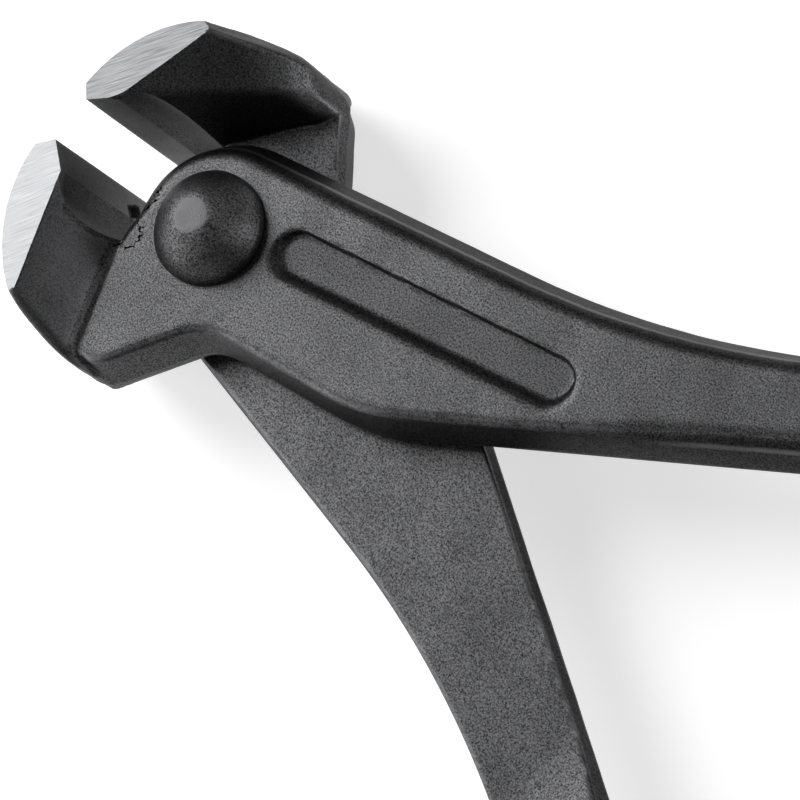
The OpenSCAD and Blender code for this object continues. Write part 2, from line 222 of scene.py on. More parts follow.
# Signed distance to that outline, kept on a plan grid and read back smoothly
tableStep = 0.4
tableX = np.arange(-26, 208, tableStep)
tableY = np.arange(-26, 42, tableStep)


def outlineDistance(px, py):
    nearest = np.full(px.shape, 1e9)
    inside = np.zeros(px.shape, bool)
    for (ax, ay), (bx, by) in zip(outline, np.roll(outline, -1, 0)):
        dx, dy = bx - ax, by - ay
        t = np.clip(((px - ax) * dx + (py - ay) * dy) / (dx * dx + dy * dy + 1e-12), 0, 1)
        nearest = np.minimum(nearest, (px - ax - t * dx) ** 2 + (py - ay - t * dy) ** 2)
        if ay != by:
            inside ^= ((ay > py) != (by > py)) & (px < (py - ay) * dx / dy + ax)
    return np.where(inside, -1, 1) * np.sqrt(nearest)


table = outlineDistance(*np.meshgrid(tableX, tableY, indexing="ij"))


def readTable(x, y):
    # bicubic reading of the plan table
    u, v = (x - tableX[0]) / tableStep, (y - tableY[0]) / tableStep
    i = np.clip(np.floor(u).astype(int), 1, len(tableX) - 3)
    j = np.clip(np.floor(v).astype(int), 1, len(tableY) - 3)
    u, v = u - i, v - j

    def weights(t):
        return (((2 - t) * t - 1) * t / 2, ((3 * t - 5) * t * t + 2) / 2,
                ((4 - 3 * t) * t + 1) * t / 2, (t - 1) * t * t / 2)

    total = 0
    for a, wa in enumerate(weights(u)):
        for b, wb in enumerate(weights(v)):
            total = total + wa * wb * table[i + a - 1, j + b - 1]
    return total


rand = np.random.RandomState(7)
waves = []
for count, shortest, longest, height in ((14, 5, 11, lever["waviness"]), (26, 0.9, 2.0, lever["scale"])):
    for n in range(count):
        way = rand.normal(size=3)
        way *= 2 * math.pi / rand.uniform(shortest, longest) / np.linalg.norm(way)
        waves.append((way, rand.uniform(0, 6.28), height * 1.4 / math.sqrt(count)))


def forgedSkin(x, y, z):
    # the uneven skin that a forging keeps: slow waves and a fine scale
    return sum(height * np.sin(way[0] * x + way[1] * y + way[2] * z + phase) for way, phase, height in waves)


def slopeField(x, y, z, place, heading, fall):
    # positive above a slope that falls from a place along a heading
    along = (x - place[0]) * deg(heading)[0] + (y - place[1]) * deg(heading)[1]
    return along * deg(fall)[1] + (z - place[2]) * deg(fall)[0]


def backPoint(angle, height):
    return backX + lever["backRadius"] * deg(angle)[0], backY + lever["backRadius"] * deg(angle)[1], height


edgeX, edgeY = -lever["edgeReach"], -lever["edgeGap"] / 2
bevelX, bevelY = edgeX + lever["innerBevel"], edgeY - lever["innerBevel"]
throatX, throatY = lever["throatCentre"]
throatRadius = math.hypot(bevelX - throatX, bevelY - throatY)
crownY = edgeY - lever["outerBevel"]
crownX = backX - math.sqrt(lever["backRadius"] ** 2 - (crownY - backY) ** 2)
crownRun = math.hypot(edgeX - crownX, edgeY - crownY)
closingRun = math.hypot(backX - bevelX, backY - bevelY)
sideZ = laps["jawWidth"] / 2
lapFace, lapBack = laps["outerFace"], laps["gap"] / 2


def leverWalls(x, y, z):
    # the drafted walls above and below the parting line, the bevel over them, and the heights of both faces
    plan = readTable(x, y)
    grown = easeIn((x - lever["thickenAt"]) / lever["thickenRun"])
    moved = easeIn((x - lever["centreAt"]) / lever["centreRun"])
    face = lapFace + (lever["handleThickness"] / 2 - lapFace) * moved
    back = face - (lapFace - lapBack) - (lever["handleThickness"] - lapFace + lapBack) * grown
    parting = face - lever["handleThickness"] / 2
    rise = lever["middleRise"] * np.maximum(x - 10, 0) ** lever["middleBend"]
    middle = np.where(x < 0, lever["lapMiddle"], lever["armMiddle"] + rise)
    high = easeIn((y - middle + 3) / 6)
    draft = lever["lowDraft"] + (lever["topDraft"] - lever["lowDraft"]) * high
    backDraft = lever["backDraft"] + (lever["handleBackDraft"] - lever["backDraft"]) * grown
    wallUp = (plan + (z - parting) * draft) / np.sqrt(1 + draft ** 2)
    bevelDraft = lever["lowBevel"] + (lever["topBevel"] - lever["lowBevel"]) * high
    bevelIn = (bevelDraft - draft) * lever["bevelAt"]
    bevel = (plan + (z - parting) * bevelDraft - bevelIn) / np.sqrt(1 + bevelDraft ** 2)
    wallDown = (plan + (parting - z) * backDraft) / np.sqrt(1 + backDraft ** 2)
    return plan, wallUp, bevel, wallDown, face, back, parting, grown, high


def lineDistance(x, y, line):
    nearest = 1e9
    for (ax, ay), (bx, by) in zip(line, line[1:]):
        dx, dy = bx - ax, by - ay
        t = np.clip(((x - ax) * dx + (y - ay) * dy) / (dx * dx + dy * dy), 0, 1)
        nearest = np.minimum(nearest, np.hypot(x - ax - t * dx, y - ay - t * dy))
    return nearest


def leverField(x, y, z, ground=True):
    # signed distance to the lever, negative inside
    skinWave = forgedSkin(x, y, z)
    plan, wallUp, bevel, wallDown, face, back, parting, grown, high = leverWalls(x, y, z)
    wallUp = smoothMax(wallUp, bevel, 0.12 + 0.7 * (1 - high))
    body = smoothMax(wallUp + 0.7 * skinWave, z - face + 0.7 * skinWave, lever["edgeRound"])
    body = smoothMax(body, wallDown, lever["seamRound"])
    body = smoothMax(body, back - z + skinWave * grown, lever["backRound"] + 1.2 * grown)
    # Jaw: a block between its round back, the bevels and the throat, under its flares
    roundBack = np.where(x > -9, plan, np.hypot(x - backX, y - backY) - lever["backRadius"])
    taperFrom = tapers["backFrom"] + tapers["backLate"] * np.exp(-np.maximum(x + 16, 0) / 2.6)
    farTaper = tapers["backTaper"] * smoothMax(-z - taperFrom, 0 * z, 1.2)
    below, over = np.maximum(parting - z, 0), np.maximum(z - parting, 0)
    share, fromX, run = tapers["under"]
    farTaper = np.maximum(farTaper, share * below * easeIn((x - fromX) / run))
    share, fromX, run = tapers["over"]
    nearTaper = share * over * easeIn((x - fromX) / run)
    share, fromX, run = tapers["shoulder"]
    shoulder = share * np.maximum(z - tapers["shoulderAt"], 0) * easeIn((x - fromX) / run)
    share, fromX, run = tapers["front"]
    slim = (tapers["frontIn"] + share * below) * easeIn((fromX - x) / run)
    roundBack = roundBack + np.maximum(nearTaper, shoulder) + np.maximum(farTaper, slim)
    outer = (-(x - edgeX) * (edgeY - crownY) + (y - edgeY) * (edgeX - crownX)) / crownRun
    throat = throatRadius - np.hypot(x - throatX, y - throatY)
    innerBevel = ((x - bevelX) + (y - bevelY)) * math.sqrt(0.5)
    closing = ((y - bevelY) * (backX - bevelX) - (x - bevelX) * (backY - bevelY)) / closingRun
    sideCos, sideSin = deg(lever["jawBackFrom"])
    side = -(x - backX) * sideSin + (y - backY) * sideCos
    bevelPlace = (bevelX, bevelY, sideZ)
    nearFirst = slopeField(x, y, z, bevelPlace, lever["sideLean"], lever["firstFall"])
    run = lever["firstRun"]
    creasePlace = (bevelX + run * deg(lever["sideLean"])[0], bevelY + run * deg(lever["sideLean"])[1],
                   sideZ - run * math.tan(math.radians(lever["firstFall"])))
    nearSecond = slopeField(x, y, z, creasePlace, lever["sideLean"], lever["nearFall"])
    flare = smoothMax(nearFirst, nearSecond, lever["flareRound"])
    nearCorner = slopeField(x, y, z, backPoint(corners["nearAt"], sideZ), *corners["near"])
    flare = smoothMax(flare, nearCorner, corners["nearRound"])
    farFirst = slopeField(x, y, -z, bevelPlace, lever["sideLean"], lever["firstFall"])
    foot = (-lever["farFoot"] * deg(lever["farLean"])[0], -lever["farFoot"] * deg(lever["farLean"])[1], 0)
    farSteep = slopeField(x, y, -z, foot, lever["farLean"], lever["farFall"])
    farFlare = smoothMax(farFirst, farSteep, 0.5)
    farEnd = slopeField(x, y, -z, corners["farEndAt"], *corners["farEnd"])
    toe = slopeField(x, y, -z, (*corners["toeAt"], lapBack), *corners["toe"])
    farFlare = smoothMax(farFlare, smoothMin(farEnd, toe, corners["toeRound"]), corners["farEndRound"])
    jaw = smoothMax(smoothMax(flare, farFlare, 0.5), roundBack, 0.4) + 0.6 * skinWave
    inner = np.maximum(throat, np.minimum(innerBevel, closing)) + 0.4 * skinWave
    jaw = np.maximum(np.maximum(jaw, inner), side)
    seat = np.maximum(np.hypot(x, y) - lever["lapRadius"] - lever["seatGap"], z - lapBack)
    solid = smoothMin(body, jaw, lever["filletRound"])
    # What was cut or ground after forging stays sharp
    solid = np.maximum(solid, -seat)
    solid = np.maximum(solid, outer)
    if ground:
        solid = np.maximum(solid, np.abs(z) - sideZ)
    # Recessed panel
    turnCos, turnSin = deg(panel["turn"])
    half = panel["width"] / 2
    px, py = x - panel["start"] - half, y - panel["up"]
    along = np.clip(px * turnCos + py * turnSin, 0, panel["length"] - panel["width"])
    rim = np.hypot(px - along * turnCos, py - along * turnSin) - half
    across = np.clip((py * turnCos - px * turnSin) / half, -1, 1)
    lead = easeIn((1.5 - px) / 3) * (1 - across * np.abs(across)) / 2
    slack = panel["steepSide"] + (panel["slackSide"] - panel["steepSide"]) * np.maximum(easeIn(0.5 - across), lead)
    pocket = smoothMax((rim - (z - face) * slack) / np.sqrt(1 + slack ** 2), face - panel["depth"] - z, 0.4)
    solid = smoothMax(solid, -pocket, 0.3 + panel["soft"] * (1 - across) / 2)
    # The split in the flash lip
    wander = 0.12 * np.sin(5.1 * x + 2.3 * y) + 0.1 * np.sin(7.7 * y - 3.1 * x + 1)
    split = lineDistance(x + wander, y + wander, flash["split"])
    cut = np.maximum(solid, np.minimum(flash["width"] - split, solid + flash["depth"]))
    solid = np.where(z > flash["above"], cut, solid)
    bore = np.hypot(x, y) - lever["boreRadius"]
    return np.maximum(solid, -bore)


def steppedAxis(axis):
    runs = [np.linspace(a, b, round((b - a) / step), endpoint=False) for a, b, step in meshSteps[axis]]
    return np.concatenate(runs) + 0.013


def skinOf(field, xs, ys, zs):
    # Puts one corner in each grid cell that the surface crosses, where the tangent planes at its crossings meet,
    # so that ground faces stay flat and their edges stay sharp
    values = field(xs[:, None, None], ys[None, :, None], zs[None, None, :])
    inside = values < 0
    axes = (xs, ys, zs)
    cellShape = np.array([len(xs) - 1, len(ys) - 1, len(zs) - 1])
    places, owners = [], []
    for axis in range(3):
        low = [slice(None)] * 3
        high = [slice(None)] * 3
        low[axis], high[axis] = slice(0, -1), slice(1, None)
        crossing = np.argwhere(inside[tuple(low)] != inside[tuple(high)])
        ends = crossing.copy()
        ends[:, axis] += 1
        start = np.stack([axes[a][crossing[:, a]] for a in range(3)], 1)
        finish = np.stack([axes[a][ends[:, a]] for a in range(3)], 1)
        f0, f1 = values[tuple(crossing.T)].astype(float), values[tuple(ends.T)].astype(float)
        lowT, highT = np.zeros(len(f0)), np.ones(len(f0))
        t = f0 / (f0 - f1)
        for _ in range(4):
            point = start + (finish - start) * t[:, None]
            f = field(*point.T)
            same = (f < 0) == (f0 < 0)
            lowT, f0 = np.where(same, t, lowT), np.where(same, f, f0)
            highT, f1 = np.where(same, highT, t), np.where(same, f1, f)
            t = lowT + (highT - lowT) * np.clip(f0 / (f0 - f1 + 1e-30), 0.05, 0.95)
        places.append(start + (finish - start) * t[:, None])
        b, c = (axis + 1) % 3, (axis + 2) % 3
        around = []
        for db, dc in ((0, 0), (-1, 0), (-1, -1), (0, -1)):
            cell = crossing.copy()
            cell[:, b] += db
            cell[:, c] += dc
            around.append((cell[:, 0] * cellShape[1] + cell[:, 1]) * cellShape[2] + cell[:, 2])
        around = np.stack(around, 1)
        flip = ~inside[tuple(crossing.T)]
        around[flip] = around[flip][:, ::-1]
        owners.append(around)
    places, owners = np.concatenate(places), np.concatenate(owners)
    step = 0.01
    slopes = np.stack([field(*(places + step * np.eye(3)[a]).T) - field(*(places - step * np.eye(3)[a]).T)
                       for a in range(3)], 1)
    slopes /= np.linalg.norm(slopes, axis=1)[:, None] + 1e-12
    cells, member = np.unique(owners, return_inverse=True)
    member = member.reshape(owners.shape)
    flat = member.ravel()
    repeated = np.repeat(np.arange(len(places)), 4)
    counts = np.bincount(flat, minlength=len(cells)).astype(float)

    def gather(amount):
        return np.bincount(flat, weights=amount[repeated], minlength=len(cells))

    centre = np.stack([gather(places[:, a]) for a in range(3)], 1) / counts[:, None]
    offset = (slopes * places).sum(1)
    square = np.empty((len(cells), 3, 3))
    for a in range(3):
        for b in range(a, 3):
            square[:, a, b] = square[:, b, a] = gather(slopes[:, a] * slopes[:, b])
    aim = np.stack([gather(slopes[:, a] * offset) for a in range(3)], 1)
    aim -= np.einsum("nab,nb->na", square, centre)
    square += np.eye(3) * 0.02
    corner = centre + np.linalg.solve(square, aim[:, :, None])[:, :, 0]
    k = cells % cellShape[2]
    j = cells // cellShape[2] % cellShape[1]
    i = cells // (cellShape[1] * cellShape[2])
    for a, index in enumerate((i, j, k)):
        corner[:, a] = np.clip(corner[:, a], axes[a][index], axes[a][index + 1])
    return corner, member


def meshObject(name, points, faces, materials, faceKinds=None):
    mesh = bpy.data.meshes.new(name)
    mesh.vertices.add(len(points))
    mesh.vertices.foreach_set("co", np.ascontiguousarray(points, dtype=np.float32).ravel())
    mesh.loops.add(faces.size)
    mesh.loops.foreach_set("vertex_index", faces.ravel().astype(np.int32))
    mesh.polygons.add(len(faces))
    mesh.polygons.foreach_set("loop_start", np.arange(0, faces.size, faces.shape[1], dtype=np.int32))
    if faceKinds is not None:
        mesh.polygons.foreach_set("material_index", faceKinds.astype(np.int32))
    mesh.update(calc_edges=True)
    mesh.validate()
    mesh.shade_smooth()
    for material in materials:
        mesh.materials.append(material)
    piece = bpy.data.objects.new(name, mesh)
    bpy.context.scene.collection.objects.link(piece)
    return piece


leverSkin, leverFaces = skinOf(leverField, steppedAxis("x"), steppedAxis("y"), steppedAxis("z"))
print("lever worked out:", len(leverFaces), "faces")


def faceSlopes(points, faces):
    across = points[faces[:, 2]] - points[faces[:, 0]]
    along = points[faces[:, 3]] - points[faces[:, 1]]
    return np.cross(across, along)


def cornerSlopes(points, faces):
    slopes = faceSlopes(points, faces)
    total = np.zeros_like(points)
    for column in range(4):
        for axis in range(3):
            total[:, axis] += np.bincount(faces[:, column], weights=slopes[:, axis], minlength=len(points))
    return total / (np.linalg.norm(total, axis=1)[:, None] + 1e-12)


if (faceSlopes(leverSkin, leverFaces) * leverSkin[leverFaces[:, 0]]).sum() < 0:
    leverFaces = leverFaces[:, ::-1]
leverSlopes = cornerSlopes(leverSkin, leverFaces)
# How far each place stands out as an edge or lies in a hollow, for rubbed edges with painted highlights and for painted
# shade in the hollows. The probes are in mm, and the shares say how much of either each part of the lever has.
wearAndPaintedLight = {
    "edgeProbe": 0.7, "hollowProbe": 1.2,
    "ridge": 0.6, "ridgeWidth": 0.09, "seam": 0.3, "seamWidth": 0.28, "nearFlare": 0.26, "innerStrip": 0.32,
    "panelEdges": 0.5, "throatRim": 0.25, "panelWall": 0.5, "panelFloor": 0.3, "lowerWall": 0.5, "upperWall": 0.42,
    "shadedLap": 0.32, "jawHollows": 0.1,
}
skinX, skinY, skinZ = leverSkin.T.copy()
wearAndHighlightShare = leverField(*(leverSkin - wearAndPaintedLight["edgeProbe"] * leverSlopes).T) / wearAndPaintedLight["edgeProbe"] + 1
hollowShare = 1 - leverField(*(leverSkin + wearAndPaintedLight["hollowProbe"] * leverSlopes).T) / wearAndPaintedLight["hollowProbe"]
plan, wallUp, bevel, wallDown, face, back, parting, grown, high = leverWalls(skinX, skinY, skinZ)
atJaw = skinX < -6


def atLeast(share, where, amount):
    return np.where(where, np.maximum(share, amount), share)


# Painted highlight lines: the ridge between wall and bevel, and the seam that the dies left at the parting line
onWall = (plan > -3.2) & (skinZ > back + 0.1) & (skinX > -11)
ridge = np.exp(-((wallUp - bevel) / wearAndPaintedLight["ridgeWidth"]) ** 2) * high * (np.abs(np.maximum(wallUp, bevel)) < 0.3)
seam = np.exp(-((skinZ - parting) / wearAndPaintedLight["seamWidth"]) ** 2) * (np.abs(plan) < 0.5)
wearAndHighlightShare = atLeast(wearAndHighlightShare, onWall, np.maximum(wearAndPaintedLight["ridge"] * ridge, wearAndPaintedLight["seam"] * seam))
# The split, the panel's rim and the throat's rim are out of reach of a rubbing hand, and get little rub and painted
# highlight
nearSplit = lineDistance(skinX, skinY, flash["split"])
wearAndHighlightShare *= np.where(skinZ > 3, easeIn((nearSplit - 0.9) / 1.2), 1)
panelX, panelY = skinX - panel["start"], skinY - panel["up"] - skinX * deg(panel["turn"])[1]
inPanel = (panelX > -1.5) & (panelX < panel["length"] + 1.5) & (np.abs(panelY) < panel["width"] / 2 + 1.6) & (skinZ > 5)
wearAndHighlightShare = np.where(inPanel, wearAndPaintedLight["panelEdges"] * wearAndHighlightShare, wearAndHighlightShare)
# Painted shade: darker in the hollows, on the panel's wall and floor, on the arm's walls and on the lap beside the jaw
panelWall = inPanel & (skinZ < lapFace - 0.12) & (skinZ > lapFace - 0.7) & (panelY < 2.0)
hollowShare = atLeast(hollowShare, panelWall, wearAndPaintedLight["panelWall"])
lowerWall = (skinZ < parting - 0.3) & (skinZ > back + 0.3) & (skinX > 5) & (plan > -3)
hollowShare = atLeast(hollowShare, lowerWall, wearAndPaintedLight["lowerWall"])
upperWall = onWall & (high > 0.5) & (skinZ < lapFace - 0.3)
hollowShare = atLeast(hollowShare, upperWall, wearAndPaintedLight["upperWall"] * high)
hollowShare = atLeast(hollowShare, inPanel & (skinZ < lapFace - 0.5), wearAndPaintedLight["panelFloor"])
hollowShare = np.where(atJaw, wearAndPaintedLight["jawHollows"] * hollowShare, hollowShare)
# painted shade on the lap's inner flat beside the jaw, where the jaw shades it
shadedLap = (np.abs(skinZ - lapBack) < 0.1) & (skinY < -lever["lapRadius"]) & (skinX < 6)
hollowShare = atLeast(hollowShare, shadedLap, wearAndPaintedLight["shadedLap"])
# The jaw: its near flare gets a painted highlight all over, its throat's rim little of either, and its inner bevel a
# bright painted highlight
nearFlare = atJaw & (skinZ > lapFace + 0.8) & (np.abs(skinZ) < sideZ - 0.1)
wearAndHighlightShare = atLeast(wearAndHighlightShare, nearFlare, wearAndPaintedLight["nearFlare"])
throatRim = np.abs(throatRadius - np.hypot(skinX - throatX, skinY - throatY)) < 0.5
wearAndHighlightShare = np.where(throatRim & (np.abs(skinZ) < 11.5), wearAndPaintedLight["throatRim"] * wearAndHighlightShare, wearAndHighlightShare)
innerStrip = np.abs((skinX - bevelX) + (skinY - bevelY)) * math.sqrt(0.5)
wearAndHighlightShare = np.maximum(wearAndHighlightShare, wearAndPaintedLight["innerStrip"] * easeIn((0.35 - innerStrip) / 0.2) * (skinY > bevelY))
# A ground face is flat to its very edge, and lies a hair inside the solid's
hair = 0.004
onGround = np.abs(skinZ) > sideZ - 0.05
leverSkin[:, 2] = np.where(onGround, np.sign(skinZ) * (sideZ - hair), skinZ)
probe = 0.01
for _ in range(2):
    rim = leverSkin[onGround]
    away = leverField(*rim.T, ground=False)
    tiltX = (leverField(*(rim + [probe, 0, 0]).T, ground=False) - away) / probe
    tiltY = (leverField(*(rim + [0, probe, 0]).T, ground=False) - away) / probe
    pull = np.where(np.abs(away) < 0.16, away, 0) / (tiltX ** 2 + tiltY ** 2 + 0.01)
    pull = np.clip(pull, -0.3, 0.3)
    rim[:, 0] -= pull * tiltX
    rim[:, 1] -= pull * tiltY
    leverSkin[onGround] = rim
faceTilt = faceSlopes(leverSkin, leverFaces)
level = np.abs(faceTilt[:, 2]) > 0.985 * np.linalg.norm(faceTilt, axis=1)
groundFaces = level & (np.abs(leverSkin[:, 2])[leverFaces].mean(1) > sideZ - 0.1)


# The rear forging came out a little slimmer behind its jaw
trim = {"depth": 0.55, "headings": (253, 325), "ramps": (14, 15), "reach": (11, 4)}


def rearTrim(x, y):
    # how near to the back's centre each place comes, as a share of its distance
    reach = np.hypot(x - backX, y - backY)
    heading = np.degrees(np.arctan2(y - backY, x - backX)) % 360
    share = trim["depth"] * easeIn((heading - trim["headings"][0]) / trim["ramps"][0])
    share *= easeIn((trim["headings"][1] - heading) / trim["ramps"][1])
    share *= easeIn((reach - trim["reach"][0]) / trim["reach"][1])
    return 1 - share / np.maximum(reach, 1)


def tornEdge(x, y, z):
    # the front forging's tear under the split: how deep each place of its inner bevel lies
    along, tearZ, slant = flash["tearAt"]
    halfAlong, halfZ, deepest = flash["tear"]
    aside = np.abs(((x - bevelX) - (y - bevelY)) * math.sqrt(0.5) - along - slant * (z - tearZ))
    onBevel = np.abs((x - bevelX) + (y - bevelY)) < 0.12
    rim = flash["tearRim"]
    return deepest * onBevel * easeIn((halfAlong - aside) / rim) * easeIn((halfZ - np.abs(z - tearZ)) / rim)


def placed(points, front):
    # own mm of a lever to the tool's place in metres
    points = points.copy()
    if front:
        points[:, :2] -= tornEdge(*points.T)[:, None] * math.sqrt(0.5)
    else:
        keep = rearTrim(points[:, 0], points[:, 1])
        points[:, 0] = backX + (points[:, 0] - backX) * keep
        points[:, 1] = backY + (points[:, 1] - backY) * keep
    turn = math.radians(openAngle / 2) * (1 if front else -1)
    side = 1 if front else -1
    x, y, z = points[:, 0], points[:, 1] * side, np.clip(points[:, 2], hair - sideZ, sideZ - hair) * side
    out = np.stack([x * math.cos(turn) - y * math.sin(turn), x * math.sin(turn) + y * math.cos(turn), z], 1)
    return out * mm + np.array(rivetPlace)


def giveShares(piece, **shares):
    for name, values in shares.items():
        layer = piece.data.attributes.new(name, "FLOAT", "POINT")
        layer.data.foreach_set("value", np.clip(values, 0, 1).astype(np.float32))


# Forged tool steel under black oxide: a dark, half-matt metal skin with pinholes from the scale,
# darker in hollows and on walls by painted shade, and brighter on the edges by rubbed wear and painted highlight
forging = {
    "colour": "#454546", "pinhole": "#262627", "rubbedAndHighlit": "#6e6e70", "roughness": 0.42,
    "edgeTint": 0.62,  # the oxide keeps the metal from turning white at a grazing look
    "grain": 0.2,  # mm; real scale is nearer 0.1 mm and is drawn coarser, so that it shows
    "relief": 0.022, "cloud": 7,  # mm: depth of the grain, and width of the patches from the bath
    "pinholes": (0.26, 0.38), "speckle": (0.3, 1.68),  # where the noise sinks to a pinhole, and the grain's contrast
}


def forgedSteel(name, settings):
    m = newMaterial(name)
    out = addNode(m, "ShaderNodeOutputMaterial")
    place = addNode(m, "ShaderNodeTexCoord").outputs["Object"]
    grain = addNode(m, "ShaderNodeTexNoise", {"Vector": place},
                    {"Scale": 1 / (settings["grain"] * mm), "Detail": 3.0, "Roughness": 0.7})
    deep, shallow = settings["pinholes"]
    level = addNode(m, "ShaderNodeMapRange", {"Value": grain.outputs["Fac"]},
                    {"From Min": deep, "From Max": shallow}, interpolation_type="SMOOTHSTEP")
    bump = addNode(m, "ShaderNodeBump", {"Height": grain.outputs["Fac"]},
                   {"Strength": 1.0, "Distance": settings["relief"] * mm})
    cloud = addNode(m, "ShaderNodeTexNoise", {"Vector": place}, {"Scale": 1 / (settings["cloud"] * mm), "Detail": 5.0})
    edge = addNode(m, "ShaderNodeAttribute", attribute_name="edge")
    hollow = addNode(m, "ShaderNodeAttribute", attribute_name="hollow")
    patchy = addNode(m, "ShaderNodeMath", {0: cloud.outputs["Fac"], 1: grain.outputs["Fac"]}, operation="ADD")
    rubAndHighlight = addNode(m, "ShaderNodeMath", {0: edge.outputs["Fac"], 1: patchy.outputs["Value"]}, operation="MULTIPLY")
    # Rubbed wear and painted highlight: mixes towards the light colour where the stored edge share is high
    rubbedAndHighlit = addNode(m, "ShaderNodeMapRange", {"Value": rubAndHighlight.outputs["Value"]},
                     {"From Min": 0.12, "From Max": 0.5, "To Max": 1.0})
    skin = addNode(m, "ShaderNodeMix", {"Factor": level.outputs["Result"]}, data_type="RGBA")
    skin.inputs["A"].default_value = linearColour(settings["pinhole"])
    skin.inputs["B"].default_value = linearColour(settings["colour"])
    tone = addNode(m, "ShaderNodeMapRange", {"Value": cloud.outputs["Fac"]},
                   {"From Min": 0.3, "From Max": 0.7, "To Min": 0.84, "To Max": 1.12})
    # Painted shade: darkens the colour down to 0.35 where the stored hollow share is high
    shadeDarkening = addNode(m, "ShaderNodeMapRange", {"Value": hollow.outputs["Fac"]},
                      {"From Min": 0.12, "From Max": 0.7, "To Min": 1.0, "To Max": 0.35})
    dim, bright = settings["speckle"]
    fine = addNode(m, "ShaderNodeMapRange", {"Value": grain.outputs["Fac"]},
                   {"From Min": 0.38, "From Max": 0.62, "To Min": dim, "To Max": bright})
    mottled = addNode(m, "ShaderNodeMath", {0: tone.outputs["Result"], 1: fine.outputs["Result"]},
                      operation="MULTIPLY")
    shade = addNode(m, "ShaderNodeMath", {0: mottled.outputs["Value"], 1: shadeDarkening.outputs["Result"]},
                    operation="MULTIPLY")
    toned = addNode(m, "ShaderNodeMix", {"A": skin.outputs["Result"], "B": shade.outputs["Value"]}, {"Factor": 1.0},
                    data_type="RGBA", blend_type="MULTIPLY")
    colour = addNode(m, "ShaderNodeMix", {"Factor": rubbedAndHighlit.outputs["Result"], "A": toned.outputs["Result"]},
                     data_type="RGBA")
    colour.inputs["B"].default_value = linearColour(settings["rubbedAndHighlit"])
    dull = addNode(m, "ShaderNodeMapRange", {"Value": level.outputs["Result"]},
                   {"To Min": settings["roughness"] + 0.2, "To Max": settings["roughness"]})
    tint = settings["edgeTint"]
    shader = addNode(m, "ShaderNodeBsdfPrincipled",
                     {"Base Color": colour.outputs["Result"], "Roughness": dull.outputs["Result"],
                      "Normal": bump.outputs["Normal"]}, {"Metallic": 1.0, "Specular Tint": (tint, tint, tint, 1)})
    m.node_tree.links.new(shader.outputs["BSDF"], out.inputs["Surface"])
    return m


blackForging = forgedSteel("blackOxideForging", forging)
# The rivet's head was upset hot and not tumbled: the same oxide on a rougher skin, a little greyer
rivetSkin = {**forging, "colour": "#4c4c4d", "rubbedAndHighlit": "#565658", "roughness": 0.46, "relief": 0.045, "grain": 0.21,
             "speckle": (0.25, 1.9)}
rivetOxide = forgedSteel("blackOxideRivet", rivetSkin)

# Ground steel: the jaws' sides come bare from the wheel, with straight scratches
ground = {
    "colour": "#767778", "roughness": 0.36, "contrast": (0.8, 1.14),
    "scratch": 0.06, "run": 4.5, "relief": 0.01,  # mm; a grit of 120 cuts about 0.03 mm wide, drawn twice as coarse
}
groundAngles = {"front": 55, "rear": 52}  # way of the scratches


def groundSteel(name, settings, turn):
    m = newMaterial(name)
    out = addNode(m, "ShaderNodeOutputMaterial")
    place = addNode(m, "ShaderNodeTexCoord").outputs["Object"]
    along = addNode(m, "ShaderNodeMapping", {"Vector": place}, {"Rotation": (0, 0, -math.radians(turn))})
    drawn = addNode(m, "ShaderNodeMapping", {"Vector": along.outputs["Vector"]},
                    {"Scale": (1 / (settings["run"] * mm), 1 / (settings["scratch"] * 2 * mm), 1)})
    lines = addNode(m, "ShaderNodeTexNoise", {"Vector": drawn.outputs["Vector"]},
                    {"Scale": 1.0, "Detail": 3.0, "Roughness": 0.6})
    bump = addNode(m, "ShaderNodeBump", {"Height": lines.outputs["Fac"]},
                   {"Strength": 1.0, "Distance": settings["relief"] * mm})
    dim, bright = settings["contrast"]
    tone = addNode(m, "ShaderNodeMapRange", {"Value": lines.outputs["Fac"]},
                   {"From Min": 0.35, "From Max": 0.65, "To Min": dim, "To Max": bright})
    colour = addNode(m, "ShaderNodeMix", {"B": tone.outputs["Result"]}, {"Factor": 1.0},
                     data_type="RGBA", blend_type="MULTIPLY")
    colour.inputs["A"].default_value = linearColour(settings["colour"])
    shader = addNode(m, "ShaderNodeBsdfPrincipled",
                     {"Base Color": colour.outputs["Result"], "Normal": bump.outputs["Normal"]},
                     {"Metallic": 1.0, "Roughness": settings["roughness"]})
    m.node_tree.links.new(shader.outputs["BSDF"], out.inputs["Surface"])
    return m


groundFront = groundSteel("groundSteelFront", ground, groundAngles["front"])
# The rear ground face is the same ground steel drawn darker: painted shade
rearGround = {**ground, "colour": "#606162", "contrast": (0.6, 1.3)}
groundRear = groundSteel("groundSteelRear", rearGround, groundAngles["rear"])

for side, front, groundSide in (("front", True, groundFront), ("rear", False, groundRear)):
    piece = meshObject(side + "Lever", placed(leverSkin, front), leverFaces, [blackForging, groundSide],
                       groundFaces.astype(int))
    piece.data.set_sharp_from_angle(angle=math.radians(32))
    giveShares(piece, edge=wearAndHighlightShare, hollow=hollowShare)
    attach(piece, side)
    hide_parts(side + "_lever")
print("levers placed")

# Rivet: shank and two domed heads, each pressed flat on top, mm from its middle
rivet = {"shank": 8.0, "head": 12.8, "rim": 0.8, "dome": 4.7, "flat": 4.2, "around": 128,
         "swell": 0.012, "unevenness": 0.8}  # out of round by this share, and share of the forging's waves on the dome


